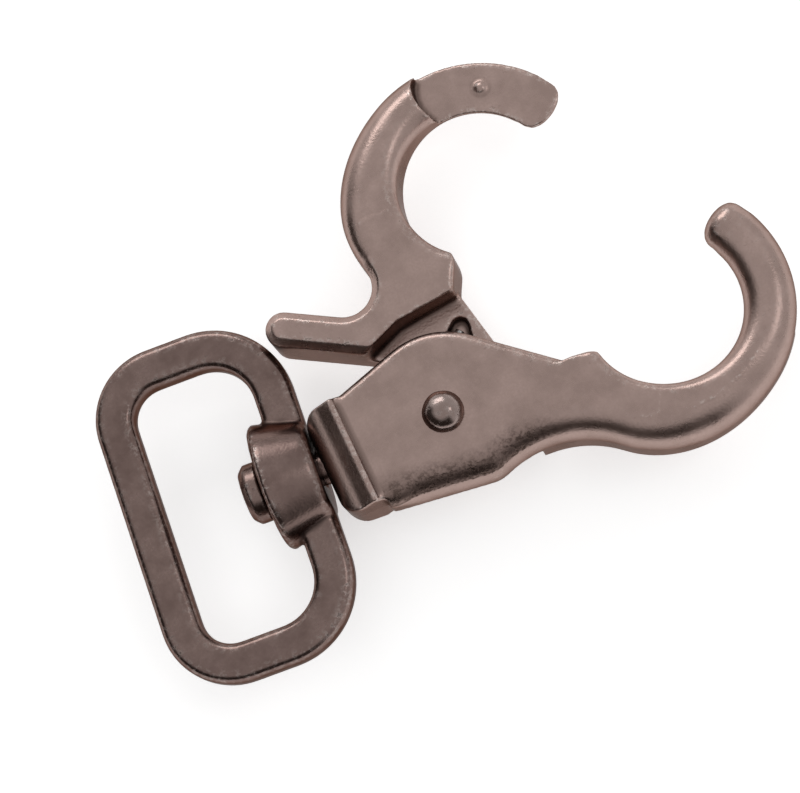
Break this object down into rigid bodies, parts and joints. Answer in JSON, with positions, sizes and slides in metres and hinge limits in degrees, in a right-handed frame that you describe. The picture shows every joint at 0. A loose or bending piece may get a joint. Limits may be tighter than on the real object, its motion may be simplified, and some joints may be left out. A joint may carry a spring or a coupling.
{
  "type": "scissor snap hook",
  "caption": "Scissor snap hook: two lapped cast jaws on one rivet close to a round eye by a spring, with a thumb lever and a swivelling strap ring.",
  "frame": {"origin": "centre of the closed eye, at the middle of the body's thickness", "axes": "+X from the jaw pivot to the eye, +Y to the side that the moving jaw opens to, +Z out of the front face, along the pivot and the eye's axis"},
  "size_m": [0.0552, 0.0376, 0.0102],
  "materials": {
    "cast_body": "satin gunmetal plating on zinc casting",
    "rivet": "satin gunmetal plating",
    "swivel": "polished gunmetal plating",
    "spring": "bright drawn wire"
  },
  "bodies": {
    "frame": {"fixed_jaw": "cast_body", "pivot_rivet": "rivet", "torsion_spring": "spring", "swivel_stud": "rivet"},
    "jaw": {"moving_jaw": "cast_body"},
    "ring": {"strap_ring": "swivel"}
  },
  "joints": [
    {"name": "jaw_pivot", "type": "hinge", "parent": "frame", "child": "jaw", "pos_m": [-0.0184, 0, 0], "axis": [0, 0, 1], "range_deg": [-57.8, 0], "stiffness_Nm_per_rad": 0.03, "springref_deg": -87.66, "deforming": ["torsion_spring"]},
    {"name": "ring_swivel", "type": "hinge", "parent": "frame", "child": "ring", "pos_m": [-0.0285, 0.0008, 0], "axis": [0.9945, -0.1045, 0], "continuous": true}
  ]
}
